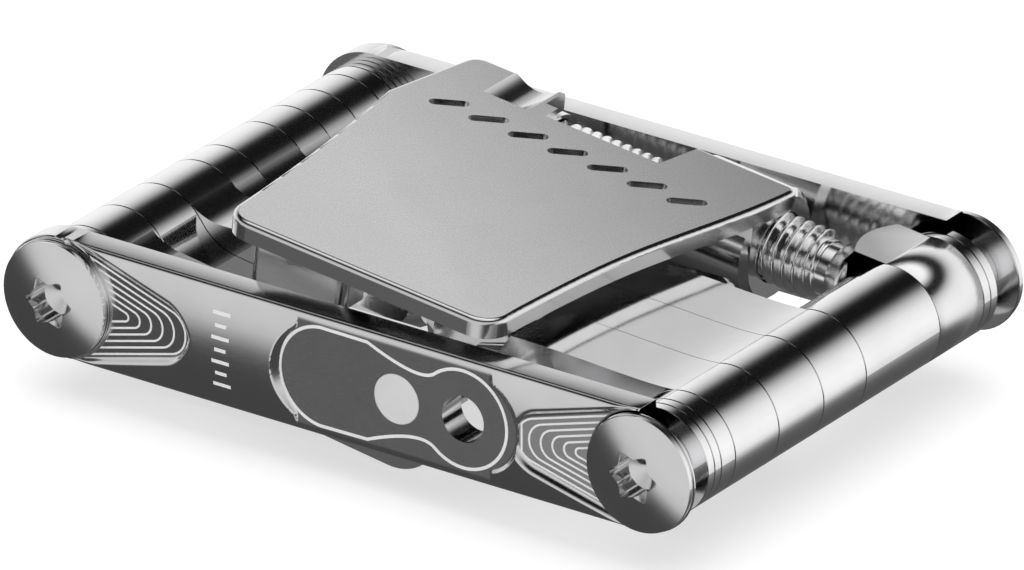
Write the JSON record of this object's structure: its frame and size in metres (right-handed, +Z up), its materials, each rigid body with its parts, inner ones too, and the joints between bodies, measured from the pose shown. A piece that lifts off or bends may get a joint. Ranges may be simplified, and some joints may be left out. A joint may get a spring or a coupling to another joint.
{
  "type": "folding bicycle chain tool",
  "caption": "Pocket multi-tool with a folding chain breaker: two side plates, two pivot stacks of folding keys, and a thumb plate on a threaded chain pin driver.",
  "frame": {"origin": "centre of the bounding box's bottom face, under the middle of the frame", "axes": "+X along the side plates from the left pivot axle to the right one, +Y from the near plate with the pocket to the far plate, +Z up through the thumb plate"},
  "size_m": [0.0676, 0.0488, 0.0202],
  "materials": {
    "plate_steel": "machined steel side plate, fine satin polish",
    "polished_steel": "mirror-polished nickel plate on the pivot stacks",
    "key_steel": "polished nickel-plated tool steel keys",
    "bolt_steel": "polished stainless bolt heads and sleeve nuts",
    "lid_steel": "satin-blasted stainless thumb plate",
    "driver_steel": "bright hardened screw",
    "magnet": "nickel-plated magnet face"
  },
  "bodies": {
    "frame": {"side_plate_near": "plate_steel", "side_plate_far": "plate_steel", "quick_link_magnet": "magnet", "pivot_bolt_left": "bolt_steel", "pivot_bolt_right": "bolt_steel", "sleeve_nut_left": "bolt_steel", "sleeve_nut_right": "bolt_steel", "head_washers": "polished_steel", "narrow_spacer_left": "polished_steel", "narrow_spacer_right": "polished_steel", "wide_spacer": "polished_steel", "thrust_washers_left_near": "polished_steel", "thrust_washers_left_far": "polished_steel", "thrust_washers_right_near": "polished_steel", "thrust_washers_right_far": "polished_steel"},
    "spoke_key": {"spoke_key": "key_steel"},
    "hex_key_2_5": {"hex_key_2_5": "key_steel"},
    "hex_key_5": {"hex_key_5": "key_steel"},
    "flat_driver": {"flat_driver": "key_steel"},
    "hex_key_4": {"hex_key_4": "key_steel"},
    "hex_key_3": {"hex_key_3": "key_steel"},
    "torx_key_10": {"torx_key_10": "key_steel"},
    "hex_key_2": {"hex_key_2": "key_steel"},
    "phillips_driver": {"phillips_driver": "key_steel"},
    "hex_key_6": {"hex_key_6": "key_steel"},
    "torx_key_25": {"torx_key_25": "key_steel"},
    "driver": {"driver_eye_bolt": "driver_steel", "push_pin": "driver_steel"},
    "chain_breaker_body": {"chain_breaker_body": "lid_steel"}
  },
  "joints": [
    {"name": "spoke_key_fold", "type": "hinge", "parent": "frame", "child": "spoke_key", "pos_m": [-0.0285, -0.01625, 0.00883], "axis": [0, 1, 0], "range_deg": [-8.4, 200]},
    {"name": "hex_key_2_5_fold", "type": "hinge", "parent": "frame", "child": "hex_key_2_5", "pos_m": [-0.0285, -0.01131, 0.00883], "axis": [0, 1, 0], "range_deg": [-8.4, 200]},
    {"name": "hex_key_5_fold", "type": "hinge", "parent": "frame", "child": "hex_key_5", "pos_m": [-0.0285, -0.00598, 0.00883], "axis": [0, 1, 0], "range_deg": [0, 200]},
    {"name": "flat_driver_fold", "type": "hinge", "parent": "frame", "child": "flat_driver", "pos_m": [-0.0285, -0.00148, 0.00883], "axis": [0, 1, 0], "range_deg": [0, 200]},
    {"name": "hex_key_4_fold", "type": "hinge", "parent": "frame", "child": "hex_key_4", "pos_m": [-0.0285, 0.00302, 0.00883], "axis": [0, 1, 0], "range_deg": [0, 200]},
    {"name": "hex_key_3_fold", "type": "hinge", "parent": "frame", "child": "hex_key_3", "pos_m": [-0.0285, 0.00769, 0.00883], "axis": [0, 1, 0], "range_deg": [0, 200]},
    {"name": "torx_key_10_fold", "type": "hinge", "parent": "frame", "child": "torx_key_10", "pos_m": [-0.0285, 0.01154, 0.00883], "axis": [0, 1, 0], "range_deg": [0, 200]},
    {"name": "hex_key_2_fold", "type": "hinge", "parent": "frame", "child": "hex_key_2", "pos_m": [-0.0285, 0.01527, 0.00883], "axis": [0, 1, 0], "range_deg": [0, 200]},
    {"name": "phillips_driver_fold", "type": "hinge", "parent": "frame", "child": "phillips_driver", "pos_m": [0.0285, -0.01363, 0.00883], "axis": [0, -1, 0], "range_deg": [0, 200]},
    {"name": "hex_key_6_fold", "type": "hinge", "parent": "frame", "child": "hex_key_6", "pos_m": [0.0285, -0.00743, 0.00883], "axis": [0, -1, 0], "range_deg": [0, 200]},
    {"name": "torx_key_25_fold", "type": "hinge", "parent": "frame", "child": "torx_key_25", "pos_m": [0.0285, -0.00128, 0.00883], "axis": [0, -1, 0], "range_deg": [0, 200]},
    {"name": "driver_fold", "type": "hinge", "parent": "frame", "child": "driver", "pos_m": [0.0285, 0.01538, 0.00883], "axis": [0, 1, 0], "range_deg": [0, 190]},
    {"name": "driver_thread_turn", "type": "hinge", "parent": "driver", "child": "chain_breaker_body", "pos_m": [0.0285, 0.01538, 0.00883], "axis": [-0.9936, 0, 0.1132], "range_deg": [0, 45]}
  ]
}
